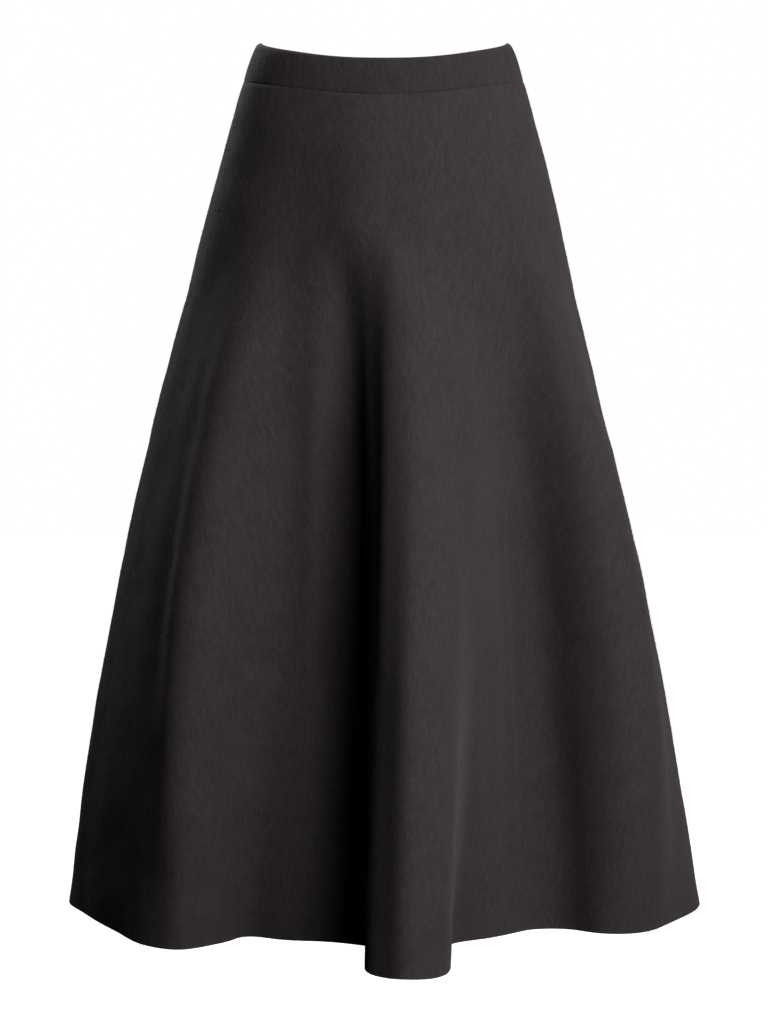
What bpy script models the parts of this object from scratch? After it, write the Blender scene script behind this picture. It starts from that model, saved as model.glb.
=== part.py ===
"""A flared midi skirt of thick wool knit with an elastic waistband, hanging open as if it were worn.

Frame: metres, +Z up, -Y the front, +X the right of someone who faces the front. The origin is the middle
of the waist ring, half way up the waistband, where the wearer holds the skirt.
"""

from collections import namedtuple

import bmesh
import bpy
import numpy as np

# Driving sizes, in metres
SKIRT_DROP = 0.779  # from the top of the waistband at a side seam down to the hem
BAND_HEIGHT = 0.033
BAND_WALL = 0.0042  # two layers of the knit round a flat elastic
CLOTH_WALL = 0.0022
SEAM_GAP = 0.0003

TOP_Z = BAND_HEIGHT / 2
FRONT_DIP = 0.016  # the waist line is lower at the front centre than at the side seams
BACK_DIP = 0.010
DIP_FADES_BY = 0.24  # the drop below which every section is level

# The waistband puffs out over its elastic, folds over at the top, and sinks into the waist seam
BAND_PUFF = 0.0012
TOP_FOLD_PINCH = 0.0014
SEAM_GROOVE = 0.0011
SOFT_EDGE = 0.0045

STEPS_IN_SPAN = 2  # columns of faces between one fold line and the next

# The plain outline, without its folds: half widths and half depths of the section at each drop, in metres
Section = namedtuple("Section", "name drop left right front back")
SECTIONS = (
    Section("waistband top", 0.000, 0.1124, 0.1124, 0.086, 0.084),
    Section("waist seam", 0.033, 0.1265, 0.1255, 0.096, 0.097),
    Section("high hip", 0.070, 0.1370, 0.1360, 0.109, 0.115),
    Section("hip", 0.141, 0.1569, 0.1540, 0.125, 0.136),
    Section("full hip", 0.214, 0.1760, 0.1706, 0.136, 0.150),
    Section("thigh", 0.323, 0.2047, 0.1960, 0.151, 0.168),
    Section("above the knee", 0.432, 0.2309, 0.2236, 0.166, 0.185),
    Section("knee", 0.541, 0.2525, 0.2470, 0.179, 0.202),
    Section("below the knee", 0.650, 0.2715, 0.2669, 0.190, 0.218),
    Section("hem", SKIRT_DROP, 0.2890, 0.2888, 0.200, 0.232),
)

# The fold lines, once round from the left side seam. Each runs down the cloth from its turn on the hips to
# its place at the hem. A turn is in degrees from the front centre, positive towards +X, and the reach is
# from the axis, in metres. Above its start, a line lies on the plain outline. Its belly is how far it
# stands out half way down, past where it would lie if it grew out evenly, and its hip is how far it stands
# out from the plain outline over the hip.
FoldLine = namedtuple("FoldLine", "name top_turn hem_turn hem_reach start belly hip")
FRONT_LINES = (
    FoldLine("left side seam", -90, -90, 0.2890, 0.225, 0.000, 0.000),
    FoldLine("left wall, back", -78, -79.5, 0.2800, 0.225, 0.002, -0.001),
    FoldLine("left wall, middle", -69, -67.5, 0.2750, 0.220, 0.004, -0.002),
    FoldLine("left flute, outer side", -62.5, -54, 0.2810, 0.195, 0.006, -0.003),
    FoldLine("left flute, crest", -57, -45.5, 0.2910, 0.175, 0.004, -0.004),
    FoldLine("left flute, lip", -51.5, -38, 0.2840, 0.170, 0.012, -0.005),
    FoldLine("left flute, inner side", -45.5, -38, 0.2470, 0.175, 0.024, -0.005),
    FoldLine("left flute, foot", -39.5, -38.5, 0.2160, 0.190, 0.022, -0.005),
    FoldLine("left valley", -35, -35, 0.2020, 0.210, 0.008, -0.005),
    FoldLine("left apron, outer", -30, -27.5, 0.2030, 0.205, -0.004, -0.004),
    FoldLine("left apron, middle", -24, -18, 0.1995, 0.180, -0.008, -0.003),
    FoldLine("left apron, inner", -19, -10, 0.2020, 0.165, -0.022, -0.001),
    FoldLine("centre flute, left neck", -12.5, -2.4, 0.2270, 0.160, -0.024, 0.001),
    FoldLine("centre flute, left wall", -4.5, -3, 0.2800, 0.152, -0.010, 0.002),
    FoldLine("centre flute, left corner", 3, -2.1, 0.3230, 0.148, 0.014, 0.001),
    FoldLine("centre flute, crest", 8, 1.6, 0.3420, 0.154, 0.018, 0.001),
    FoldLine("centre flute, crest right", 12, 6, 0.3440, 0.158, 0.018, 0.001),
    FoldLine("centre flute, right corner", 16, 9.3, 0.3260, 0.160, 0.018, 0.001),
    FoldLine("centre flute, right wall", 21, 11.3, 0.2740, 0.168, 0.026, 0.000),
    FoldLine("centre flute, right neck", 27, 14.7, 0.2140, 0.175, 0.030, -0.001),
    FoldLine("right apron, inner", 32.5, 23.2, 0.2005, 0.180, 0.014, -0.001),
    FoldLine("right apron, outer", 39, 33.5, 0.1930, 0.180, -0.004, 0.000),
    FoldLine("right valley", 46, 43.5, 0.1920, 0.172, -0.012, 0.001),
    FoldLine("right ridge, inner side", 52, 47.5, 0.2130, 0.168, -0.006, 0.003),
    FoldLine("right ridge, crest", 58, 51.5, 0.2460, 0.166, 0.026, 0.004),
    FoldLine("right ridge, outer side", 65, 59, 0.2630, 0.176, 0.028, 0.003),
    FoldLine("right wall, middle", 73, 69.5, 0.2760, 0.200, 0.014, 0.001),
    FoldLine("right wall, back", 82, 80, 0.2865, 0.222, 0.002, -0.001),
)
BACK_LINES = (
    FoldLine("right side seam", 90, 90, 0.2888, 0.225, 0.000, 0.000),
    FoldLine("right back wall", 99, 101, 0.2800, 0.225, 0.000, 0.000),
    FoldLine("right back valley", 107, 111, 0.2640, 0.225, 0.000, -0.001),
    FoldLine("right back flute, outer side", 115, 119, 0.2740, 0.215, 0.000, -0.001),
    FoldLine("right back flute, crest", 123, 127, 0.2990, 0.195, 0.004, 0.001),
    FoldLine("right back flute, inner crest", 131, 134, 0.2960, 0.190, 0.006, 0.002),
    FoldLine("right back flute, inner side", 138, 141, 0.2540, 0.200, 0.004, 0.002),
    FoldLine("centre back valley, right", 146, 149, 0.2230, 0.215, -0.002, 0.001),
    FoldLine("centre back valley, floor", 155, 158, 0.2210, 0.215, -0.004, -0.001),
    FoldLine("centre back flute, right side", 163, 166.5, 0.2520, 0.200, 0.000, -0.002),
    FoldLine("centre back flute, right crest", 171, 173, 0.2960, 0.185, 0.006, -0.002),
    FoldLine("centre back flute, left crest", 179, 180, 0.3050, 0.180, 0.008, -0.001),
    FoldLine("centre back flute, left side", 187, 186.5, 0.2780, 0.190, 0.004, 0.000),
    FoldLine("left back valley, right", 195, 193, 0.2360, 0.205, -0.002, 0.001),
    FoldLine("left back valley, floor", 203, 201, 0.2150, 0.215, -0.004, 0.001),
    FoldLine("left back valley, left", 211, 210, 0.2220, 0.215, -0.002, 0.000),
    FoldLine("left back flute, inner side", 219, 217.5, 0.2580, 0.205, 0.004, -0.002),
    FoldLine("left back flute, inner crest", 227, 224, 0.2960, 0.190, 0.006, -0.003),
    FoldLine("left back flute, crest", 235, 231, 0.3060, 0.190, 0.006, -0.003),
    FoldLine("left back flute, outer side", 243, 239.5, 0.2850, 0.210, 0.002, -0.002),
    FoldLine("left back hollow", 251, 249, 0.2680, 0.220, 0.000, -0.001),
    FoldLine("left back wall", 260, 259, 0.2760, 0.225, 0.000, 0.000),
)
FOLD_LINES = FRONT_LINES + BACK_LINES
FOLD_ONSET = 0.05  # the share of its length over which a fold line leaves the plain outline gently
HIP_SHAPE_ENDS = 0.30  # the drop by which the shape of the hips has faded out

# The drops of the rows of points, close together where the folds begin
BAND_ROWS = (0.0, 0.0012, 0.0045, 0.0120, 0.0200, 0.0285, 0.0315, BAND_HEIGHT)
CLOTH_ROWS = (
    BAND_HEIGHT + SEAM_GAP, 0.0350, 0.0380, 0.060, 0.095, 0.125, 0.150, 0.172, 0.194, 0.220, 0.250,
    0.285, 0.325, 0.375, 0.430, 0.495, 0.560, 0.630, 0.705, SKIRT_DROP,
)  # fmt: skip

CHARCOAL = (0.050, 0.046, 0.048, 1.0)
CHARCOAL_RIB = (0.046, 0.042, 0.044, 1.0)


# Reading the tables


def section_at(drop):
    """The plain outline's left, right, front and back at a drop, on a smooth curve through the table."""
    drops = np.array([s.drop for s in SECTIONS])
    sizes = np.array([(s.left, s.right, s.front, s.back) for s in SECTIONS])
    slopes = np.gradient(sizes, drops, axis=0)
    row = int(np.clip(np.searchsorted(drops, drop) - 1, 0, len(drops) - 2))
    height = drops[row + 1] - drops[row]
    t = (drop - drops[row]) / height
    return (
        (2 * t**3 - 3 * t**2 + 1) * sizes[row]
        + (t**3 - 2 * t**2 + t) * height * slopes[row]
        + (3 * t**2 - 2 * t**3) * sizes[row + 1]
        + (t**3 - t**2) * height * slopes[row + 1]
    )


def plain_reach(turn, drop):
    """How far the plain outline, four quarter ellipses, is from the axis at a turn in radians."""
    left, right, front, back = section_at(drop)
    across, along = np.sin(turn), np.cos(turn)
    half_width = np.where(across < 0, left, right)
    half_depth = np.where(along > 0, front, back)
    return 1 / np.hypot(across / half_width, along / half_depth)


def at_hip(drop):
    """The share of the hips' shape that a level has: 0 at the waist seam, 1 at the hip, then 0 again."""
    past_band = np.clip((drop - BAND_HEIGHT) / (HIP_SHAPE_ENDS - BAND_HEIGHT), 0, 1)
    return np.sin(np.pi * past_band) ** 1.5


def fold_points(drop):
    """Where the fold lines cross the level of a drop, as x and y."""
    top = np.radians([line.top_turn for line in FOLD_LINES])
    hem = np.radians([line.hem_turn for line in FOLD_LINES])
    # The back's turns go on from 90 to 260 degrees, and the last fold line leads back to the left side seam
    start = np.array([line.start for line in FOLD_LINES])
    way_down = np.clip((drop - start) / (SKIRT_DROP - start), 0, None)
    grown = way_down**2 * (1 + FOLD_ONSET) / (way_down + FOLD_ONSET)
    turn = top + (hem - top) * grown
    beyond = np.array([line.hem_reach for line in FOLD_LINES]) - plain_reach(hem, SKIRT_DROP)
    belly = np.array([line.belly for line in FOLD_LINES])
    hip = np.array([line.hip for line in FOLD_LINES])
    reach = plain_reach(turn, drop) + beyond * grown + belly * 4 * grown * (1 - grown) + hip * at_hip(drop)
    return np.stack([reach * np.sin(turn), -reach * np.cos(turn)], axis=1)


# The surface


def closed_spline(points, steps):
    """A smooth closed curve through points, with steps places in each span, and its direction at each."""
    onward = np.roll(points, -1, axis=0)
    span = np.sqrt(np.linalg.norm(onward - points, axis=1))
    before = np.roll(span, 1)
    count = len(points)
    here = np.arange(count)
    matrix = np.zeros((count, count))
    matrix[here, here] = 2 * (before + span)
    matrix[here, here - 1] += before
    matrix[here, (here + 1) % count] += span
    slope = (onward - points) / span[:, None]
    bend = np.linalg.solve(matrix, 6 * (slope - np.roll(slope, 1, axis=0)))
    next_bend = np.roll(bend, -1, axis=0)

    h = span[:, None, None]
    s = h * (np.arange(steps) / steps)[None, :, None]
    p, q, m, n = (a[:, None, :] for a in (points, onward, bend, next_bend))
    place = m * (h - s) ** 3 / (6 * h) + n * s**3 / (6 * h)
    place = place + (p / h - m * h / 6) * (h - s) + (q / h - n * h / 6) * s
    direction = (n * s**2 - m * (h - s) ** 2) / (2 * h) + (q - p) / h - (n - m) * h / 6
    return place.reshape(-1, 2), direction.reshape(-1, 2)


def waist_dip(x, y, drop):
    """How far the waist line's dip lowers a point of the section at a drop."""
    share = np.abs(y) / np.maximum(np.hypot(x, y), 1e-9)
    fade = max(0.0, 1 - drop / DIP_FADES_BY) ** 1.3
    return np.where(y < 0, FRONT_DIP, BACK_DIP) * share**1.6 * fade


def level(drop):
    """One whole section of the cloth's outer face at a drop, and the outward direction at each point."""
    step = 0.001
    plan, along = closed_spline(fold_points(drop), STEPS_IN_SPAN)
    above = closed_spline(fold_points(max(drop - step, 0)), STEPS_IN_SPAN)[0]
    below = closed_spline(fold_points(drop + step), STEPS_IN_SPAN)[0]
    fall = drop + step - max(drop - step, 0)
    down = np.column_stack([(below - above) / fall, -np.ones(len(plan))])
    outward = np.cross(down, np.column_stack([along, np.zeros(len(plan))]))
    outward /= np.linalg.norm(outward, axis=1, keepdims=True)
    z = TOP_Z - drop - waist_dip(plan[:, 0], plan[:, 1], drop)
    return np.column_stack([plan, z]), outward


def near_edge(distance):
    """1 at an edge of the cloth and 0 from a soft edge's width away, with a round shoulder between."""
    inside = np.clip(1 - distance / SOFT_EDGE, 0, 1)
    return 1 - np.sqrt(1 - inside**2)


def band_relief(drop):
    """How far the band stands out from the plain surface: a puff, less the groove of the waist seam."""
    return BAND_PUFF * np.sin(np.pi * drop / BAND_HEIGHT) - SEAM_GROOVE * near_edge(BAND_HEIGHT - drop)


def cloth_relief(drop):
    """The cloth rounds in to the groove of the waist seam over its first millimetres."""
    return -SEAM_GROOVE * near_edge(drop - BAND_HEIGHT)


def wall_rows(drops, relief, wall, top_pinch=0.0):
    """The outer and inner faces of a wall all the way round, as arrays of rows, columns and coordinates."""
    outer, inner = [], []
    for drop in drops:
        place, outward = level(drop)
        pinch = top_pinch * near_edge(drop)
        outer.append(place + (relief(drop) - pinch) * outward)
        inner.append(place + (relief(drop) - wall + pinch) * outward)
    return np.array(outer), np.array(inner)


# The solids


def panel(rows, first, last):
    """The columns of a panel between two seams, each end column moved in by half the seam's gap."""
    columns = np.arange(first, last + 1) % rows.shape[1]
    cut = rows[:, columns].copy()
    for end, beside in ((0, 1), (-1, -2)):
        inward = cut[:, beside] - cut[:, end]
        inward /= np.linalg.norm(inward, axis=1, keepdims=True)
        cut[:, end] += inward * SEAM_GAP / 2
    return cut


def loft_wall(name, outer, inner, material, collection):
    """A closed wall lofted down its rows, each a loop along the outer face and back along the inner one."""
    mesh = bpy.data.meshes.new(name)
    bm = bmesh.new()
    loops = [
        [bm.verts.new(point) for point in np.concatenate([face_out, face_in[::-1]])]
        for face_out, face_in in zip(outer, inner)
    ]
    size = len(loops[0])
    for upper, lower in zip(loops, loops[1:]):
        for i in range(size):
            j = (i + 1) % size
            bm.faces.new((upper[i], lower[i], lower[j], upper[j]))
    for i in range(size // 2 - 1):
        top, hem = loops[0], loops[-1]
        bm.faces.new((top[i], top[i + 1], top[-2 - i], top[-1 - i]))
        bm.faces.new((hem[-1 - i], hem[-2 - i], hem[i + 1], hem[i]))
    bm.to_mesh(mesh)
    bm.free()
    mesh.materials.append(material)
    mesh.shade_smooth()
    mesh.set_sharp_from_angle(angle=np.radians(50))
    made = bpy.data.objects.new(name, mesh)
    collection.objects.link(made)
    return made


def knit_material(name, colour):
    """A plain wool finish: the part's colour, rough and not metallic."""
    material = bpy.data.materials.new(name)
    material.use_nodes = True
    shader = material.node_tree.nodes["Principled BSDF"]
    shader.inputs["Base Color"].default_value = colour
    shader.inputs["Roughness"].default_value = 0.92
    shader.inputs["Metallic"].default_value = 0.0
    return material


def build():
    """Clears the scene, then makes the skirt's four pieces in their own collection."""
    for old in list(bpy.data.objects):
        bpy.data.objects.remove(old)
    collection = bpy.data.collections.new("flared_midi_skirt")
    bpy.context.scene.collection.children.link(collection)

    whole_round = len(FOLD_LINES) * STEPS_IN_SPAN
    right_seam = len(FRONT_LINES) * STEPS_IN_SPAN
    halves = (("front", 0, right_seam), ("back", right_seam, whole_round))
    band_outer, band_inner = wall_rows(BAND_ROWS, band_relief, BAND_WALL, TOP_FOLD_PINCH)
    cloth_outer, cloth_inner = wall_rows(CLOTH_ROWS, cloth_relief, CLOTH_WALL)
    band_knit = knit_material("waistband_knit", CHARCOAL_RIB)
    cloth_knit = knit_material("skirt_knit", CHARCOAL)
    for half, first, last in halves:
        loft_wall(
            "waistband_" + half, panel(band_outer, first, last), panel(band_inner, first, last),
            band_knit, collection,
        )  # fmt: skip
        loft_wall(
            "skirt_" + half, panel(cloth_outer, first, last), panel(cloth_inner, first, last),
            cloth_knit, collection,
        )  # fmt: skip


build()
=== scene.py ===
# %% [markdown]
# # A flared midi skirt in charcoal wool knit
# The real skirt is knitted from thick wool yarn and then washed until it felts, so its cloth is
# matt, springy and about two millimetres thick. A maker cuts a flared front and a flared back,
# joins them at the sides, and closes the top with a band that is folded over flat elastic. Cloth
# this thick doesn't crumple. It falls in a few deep, soft flutes, and most of this lesson is about
# giving those flutes, the seams and the felted surface the form that they have on the real thing.

# %% Load the plain solids that set the skirt's size
from collections import namedtuple

import bpy
import numpy as np
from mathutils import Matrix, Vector, noise


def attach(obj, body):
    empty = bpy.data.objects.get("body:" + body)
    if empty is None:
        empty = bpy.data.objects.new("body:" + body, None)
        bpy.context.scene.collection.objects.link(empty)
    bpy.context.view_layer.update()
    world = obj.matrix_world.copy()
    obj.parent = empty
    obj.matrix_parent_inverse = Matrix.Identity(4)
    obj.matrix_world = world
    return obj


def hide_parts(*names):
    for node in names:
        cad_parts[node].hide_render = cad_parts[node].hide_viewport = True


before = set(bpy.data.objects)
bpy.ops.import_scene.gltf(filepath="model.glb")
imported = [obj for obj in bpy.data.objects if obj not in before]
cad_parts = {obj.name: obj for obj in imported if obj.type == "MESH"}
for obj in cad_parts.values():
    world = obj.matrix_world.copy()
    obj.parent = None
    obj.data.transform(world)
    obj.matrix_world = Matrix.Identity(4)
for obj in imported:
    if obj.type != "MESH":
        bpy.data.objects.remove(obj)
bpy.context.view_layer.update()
print("Solids:", ", ".join(sorted(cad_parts)))

# %% [markdown]
# ## The plain outline
# Without its flutes, the skirt is a ring that widens from the waist to the hem. At each height,
# four quarter ellipses describe it: a half width to each side, and a half depth to the front and
# the back. A table of ten heights is enough, because a smooth curve through the rows gives every
# height between them.

# %% The section at each height
SKIRT_DROP = 0.779
BAND_HEIGHT = 0.033
TOP_Z = BAND_HEIGHT / 2
BAND_WALL = 0.0042
CLOTH_WALL = 0.0022

Section = namedtuple("Section", "name drop left right front back")
SECTIONS = (
    Section("waistband top", 0.000, 0.1124, 0.1124, 0.086, 0.084),
    Section("waist seam", 0.033, 0.1265, 0.1255, 0.096, 0.097),
    Section("high hip", 0.070, 0.1370, 0.1360, 0.109, 0.115),
    Section("hip", 0.141, 0.1569, 0.1540, 0.125, 0.136),
    Section("full hip", 0.214, 0.1760, 0.1706, 0.136, 0.150),
    Section("thigh", 0.323, 0.2047, 0.1960, 0.151, 0.168),
    Section("above the knee", 0.432, 0.2309, 0.2236, 0.166, 0.185),
    Section("knee", 0.541, 0.2525, 0.2470, 0.179, 0.202),
    Section("below the knee", 0.650, 0.2715, 0.2669, 0.190, 0.218),
    Section("hem", SKIRT_DROP, 0.2890, 0.2888, 0.200, 0.232),
)


def section_at(drop):
    """Left, right, front and back of the plain outline at a drop below the waistband's top."""
    drops = np.array([s.drop for s in SECTIONS])
    sizes = np.array([(s.left, s.right, s.front, s.back) for s in SECTIONS])
    slopes = np.gradient(sizes, drops, axis=0)
    row = int(np.clip(np.searchsorted(drops, drop) - 1, 0, len(drops) - 2))
    height = drops[row + 1] - drops[row]
    t = (drop - drops[row]) / height
    return (
        (2 * t**3 - 3 * t**2 + 1) * sizes[row]
        + (t**3 - 2 * t**2 + t) * height * slopes[row]
        + (3 * t**2 - 2 * t**3) * sizes[row + 1]
        + (t**3 - t**2) * height * slopes[row + 1]
    )


def plain_reach(turn, drop):
    """Distance from the axis to the plain outline, at a turn in radians from the front centre."""
    left, right, front, back = section_at(drop)
    across, along = np.sin(turn), np.cos(turn)
    half_width = np.where(across < 0, left, right)
    half_depth = np.where(along > 0, front, back)
    return 1 / np.hypot(across / half_width, along / half_depth)


print("Half widths at the hem:", section_at(SKIRT_DROP)[:2], "m")

# %% [markdown]
# ## The flutes
# Each flute is drawn with lines that run down the cloth: its crest, its two sides and the valley
# beside it. A line needs only a turn at the hip, a turn and a reach at the hem, and the height
# where it leaves the plain outline. The belly lets a line stand out, or in, half way down. The fold
# lines go once round the skirt, from the left side seam across the front to the right one, and back
# across the back.

# %% The fold lines
FoldLine = namedtuple("FoldLine", "name top_turn hem_turn hem_reach start belly hip")
FRONT_LINES = (
    FoldLine("left side seam", -90, -90, 0.2890, 0.225, 0.000, 0.000),
    FoldLine("left wall, back", -78, -79.5, 0.2800, 0.225, 0.002, -0.001),
    FoldLine("left wall, middle", -69, -67.5, 0.2750, 0.220, 0.004, -0.002),
    FoldLine("left flute, outer side", -62.5, -54, 0.2810, 0.195, 0.006, -0.003),
    FoldLine("left flute, crest", -57, -45.5, 0.2910, 0.175, 0.004, -0.004),
    FoldLine("left flute, lip", -51.5, -38, 0.2840, 0.170, 0.012, -0.005),
    FoldLine("left flute, inner side", -45.5, -38, 0.2470, 0.175, 0.024, -0.005),
    FoldLine("left flute, foot", -39.5, -38.5, 0.2160, 0.190, 0.022, -0.005),
    FoldLine("left valley", -35, -35, 0.2020, 0.210, 0.008, -0.005),
    FoldLine("left apron, outer", -30, -27.5, 0.2030, 0.205, -0.004, -0.004),
    FoldLine("left apron, middle", -24, -18, 0.1995, 0.180, -0.008, -0.003),
    FoldLine("left apron, inner", -19, -10, 0.2020, 0.165, -0.022, -0.001),
    FoldLine("centre flute, left neck", -12.5, -2.4, 0.2270, 0.160, -0.024, 0.001),
    FoldLine("centre flute, left wall", -4.5, -3, 0.2800, 0.152, -0.010, 0.002),
    FoldLine("centre flute, left corner", 3, -2.1, 0.3230, 0.148, 0.014, 0.001),
    FoldLine("centre flute, crest", 8, 1.6, 0.3420, 0.154, 0.018, 0.001),
    FoldLine("centre flute, crest right", 12, 6, 0.3440, 0.158, 0.018, 0.001),
    FoldLine("centre flute, right corner", 16, 9.3, 0.3260, 0.160, 0.018, 0.001),
    FoldLine("centre flute, right wall", 21, 11.3, 0.2740, 0.168, 0.026, 0.000),
    FoldLine("centre flute, right neck", 27, 14.7, 0.2140, 0.175, 0.030, -0.001),
    FoldLine("right apron, inner", 32.5, 23.2, 0.2005, 0.180, 0.014, -0.001),
    FoldLine("right apron, outer", 39, 33.5, 0.1930, 0.180, -0.004, 0.000),
    FoldLine("right valley", 46, 43.5, 0.1920, 0.172, -0.012, 0.001),
    FoldLine("right ridge, inner side", 52, 47.5, 0.2130, 0.168, -0.006, 0.003),
    FoldLine("right ridge, crest", 58, 51.5, 0.2460, 0.166, 0.026, 0.004),
    FoldLine("right ridge, outer side", 65, 59, 0.2630, 0.176, 0.028, 0.003),
    FoldLine("right wall, middle", 73, 69.5, 0.2760, 0.200, 0.014, 0.001),
    FoldLine("right wall, back", 82, 80, 0.2865, 0.222, 0.002, -0.001),
)
BACK_LINES = (
    FoldLine("right side seam", 90, 90, 0.2888, 0.225, 0.000, 0.000),
    FoldLine("right back wall", 99, 101, 0.2800, 0.225, 0.000, 0.000),
    FoldLine("right back valley", 107, 111, 0.2640, 0.225, 0.000, -0.001),
    FoldLine("right back flute, outer side", 115, 119, 0.2740, 0.215, 0.000, -0.001),
    FoldLine("right back flute, crest", 123, 127, 0.2990, 0.195, 0.004, 0.001),
    FoldLine("right back flute, inner crest", 131, 134, 0.2960, 0.190, 0.006, 0.002),
    FoldLine("right back flute, inner side", 138, 141, 0.2540, 0.200, 0.004, 0.002),
    FoldLine("centre back valley, right", 146, 149, 0.2230, 0.215, -0.002, 0.001),
    FoldLine("centre back valley, floor", 155, 158, 0.2210, 0.215, -0.004, -0.001),
    FoldLine("centre back flute, right side", 163, 166.5, 0.2520, 0.200, 0.000, -0.002),
    FoldLine("centre back flute, right crest", 171, 173, 0.2960, 0.185, 0.006, -0.002),
    FoldLine("centre back flute, left crest", 179, 180, 0.3050, 0.180, 0.008, -0.001),
    FoldLine("centre back flute, left side", 187, 186.5, 0.2780, 0.190, 0.004, 0.000),
    FoldLine("left back valley, right", 195, 193, 0.2360, 0.205, -0.002, 0.001),
    FoldLine("left back valley, floor", 203, 201, 0.2150, 0.215, -0.004, 0.001),
    FoldLine("left back valley, left", 211, 210, 0.2220, 0.215, -0.002, 0.000),
    FoldLine("left back flute, inner side", 219, 217.5, 0.2580, 0.205, 0.004, -0.002),
    FoldLine("left back flute, inner crest", 227, 224, 0.2960, 0.190, 0.006, -0.003),
    FoldLine("left back flute, crest", 235, 231, 0.3060, 0.190, 0.006, -0.003),
    FoldLine("left back flute, outer side", 243, 239.5, 0.2850, 0.210, 0.002, -0.002),
    FoldLine("left back hollow", 251, 249, 0.2680, 0.220, 0.000, -0.001),
    FoldLine("left back wall", 260, 259, 0.2760, 0.225, 0.000, 0.000),
)
FOLD_LINES = FRONT_LINES + BACK_LINES
FOLD_ONSET = 0.05
HIP_SHAPE_ENDS = 0.30
HIP_SHAPE_POWER = 1.5


def fold_points(drop):
    """Where the fold lines cross the level of a drop, as x and y."""
    top = np.radians([line.top_turn for line in FOLD_LINES])
    hem = np.radians([line.hem_turn for line in FOLD_LINES])
    start = np.array([line.start for line in FOLD_LINES])
    way_down = np.clip((drop - start) / (SKIRT_DROP - start), 0, None)
    grown = way_down**2 * (1 + FOLD_ONSET) / (way_down + FOLD_ONSET)
    turn = top + (hem - top) * grown
    beyond = np.array([line.hem_reach for line in FOLD_LINES]) - plain_reach(hem, SKIRT_DROP)
    belly = np.array([line.belly for line in FOLD_LINES])
    hip = np.array([line.hip for line in FOLD_LINES])
    past_band = np.clip((drop - BAND_HEIGHT) / (HIP_SHAPE_ENDS - BAND_HEIGHT), 0, 1)
    at_hip = np.sin(np.pi * past_band) ** HIP_SHAPE_POWER
    half_way = 4 * grown * (1 - grown)
    reach = plain_reach(turn, drop) + beyond * grown + belly * half_way + hip * at_hip
    return np.stack([reach * np.sin(turn), -reach * np.cos(turn)], axis=1)


print(len(FRONT_LINES), "fold lines on the front and", len(BACK_LINES), "on the back")

# %% [markdown]
# ## From lines to a surface
# Thick cloth bends evenly, and so does the curve that passes through points with the least bending,
# a cubic spline. One closed spline at each height gives a smooth ring, and many rings give the
# whole skirt. The waist dips at the front and back, as it does on a body, and that dip fades out by
# the hip. The rings lie closer together beside the band and the hem, and the first one is tucked a
# little way into the band.

# %% Smooth rings of cloth
STEPS_IN_SPAN = 8
RIGHT_SEAM = len(FRONT_LINES) * STEPS_IN_SPAN
WHOLE_ROUND = len(FOLD_LINES) * STEPS_IN_SPAN
FRONT_DIP = 0.016
BACK_DIP = 0.010
DIP_FADES_BY = 0.24
DIP_FADE_POWER = 1.3
DIP_GATHER_POWER = 1.6


def closed_spline(points, steps):
    """A closed cubic spline through points, with steps places in each span."""
    onward = np.roll(points, -1, axis=0)
    span = np.sqrt(np.linalg.norm(onward - points, axis=1))
    before = np.roll(span, 1)
    here = np.arange(len(points))
    matrix = np.zeros((len(points), len(points)))
    matrix[here, here] = 2 * (before + span)
    matrix[here, here - 1] += before
    matrix[here, (here + 1) % len(points)] += span
    slope = (onward - points) / span[:, None]
    bend = np.linalg.solve(matrix, 6 * (slope - np.roll(slope, 1, axis=0)))
    h = span[:, None, None]
    s = h * (np.arange(steps) / steps)[None, :, None]
    p, q, m, n = (a[:, None, :] for a in (points, onward, bend, np.roll(bend, -1, axis=0)))
    place = m * (h - s) ** 3 / (6 * h) + n * s**3 / (6 * h)
    place = place + (p / h - m * h / 6) * (h - s) + (q / h - n * h / 6) * s
    return place.reshape(-1, 2)


def ring(drop):
    """One ring of the cloth's outer face, once round from the left side seam."""
    plan = closed_spline(fold_points(drop), STEPS_IN_SPAN)
    share = np.abs(plan[:, 1]) / np.hypot(plan[:, 0], plan[:, 1])
    fade = max(0.0, 1 - drop / DIP_FADES_BY) ** DIP_FADE_POWER
    dip = np.where(plan[:, 1] < 0, FRONT_DIP, BACK_DIP) * share**DIP_GATHER_POWER * fade
    return np.column_stack([plan, TOP_Z - drop - dip])


def outward(rows):
    """The outward direction at each point of rows of rings."""
    around = np.roll(rows, -1, axis=1) - np.roll(rows, 1, axis=1)
    down = np.gradient(rows, axis=0)
    facing = np.cross(down, around)
    return facing / np.linalg.norm(facing, axis=2, keepdims=True)


# %% The heights of the cloth's rings
TUCK = 0.0008
UNDER_BAND = np.array([-TUCK, 0, 0.0006, 0.0014, 0.0025, 0.0040, 0.0062])
FIRST_EVEN_RING = 0.043
LAST_EVEN_RING = SKIRT_DROP - 0.0035
EVEN_RINGS = 128
ABOVE_HEM = np.array([0.0015, 0.0006, 0])
CLOTH_DROPS = np.concatenate([
    BAND_HEIGHT + UNDER_BAND,
    np.linspace(FIRST_EVEN_RING, LAST_EVEN_RING, EVEN_RINGS),
    SKIRT_DROP - ABOVE_HEM,
])
plain_cloth = np.array([ring(drop) for drop in CLOTH_DROPS])
cloth_out = outward(plain_cloth)
print("The cloth has", plain_cloth.shape[0], "rings of", plain_cloth.shape[1], "points")

# %% [markdown]
# ## Creases, and the hand of the cloth
# Between its flutes, the real cloth isn't even. It has a soft ridge down the front of the hips, a
# pinch where the centre flute turns back, and shallow troughs and ridges of different lengths. Each
# one is a row in a table: the fold line that it runs beside, how far beside it at both ends, where
# it starts and ends, how wide it is and how high. A rise stands out and a negative one sinks in. A
# narrow row is a crease, and a broad one turns a whole side of a flute a little more to the light
# or away from it. A row that ends below the hem runs off it at full height.

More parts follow.
